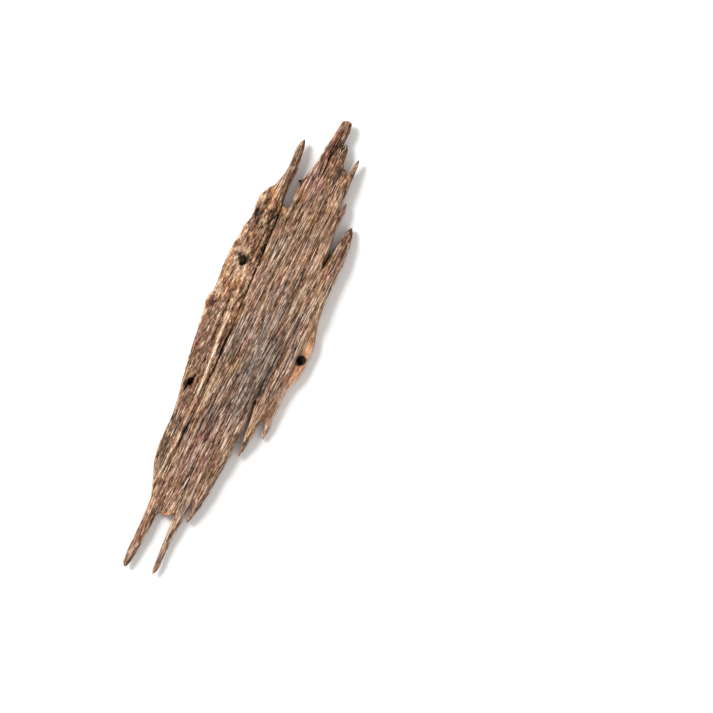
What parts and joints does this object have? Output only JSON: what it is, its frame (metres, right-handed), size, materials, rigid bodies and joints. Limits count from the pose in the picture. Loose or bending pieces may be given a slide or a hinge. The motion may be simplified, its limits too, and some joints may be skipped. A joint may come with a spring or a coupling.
{
  "type": "agarwood piece",
  "caption": "Flat, weathered splinter of resinous agarwood, split along its grain, with a ridged brown face, a pale crumbly edge, borers' holes and ends torn into long pointed tines.",
  "frame": {"origin": "under the middle of the piece's box, on the surface that it lies on", "axes": "+Y along the grain, towards the end that is torn to a spear shape; +Z up, out of the ridged face that the picture shows; +X across the grain, to the right when the piece is seen from above with +Y up"},
  "size_m": [0.0418, 0.1754, 0.008],
  "materials": {
    "agarwood": "dry, weathered, split along the grain"
  },
  "bodies": {
    "root": {"agarwood_piece": "agarwood"}
  },
  "joints": []
}
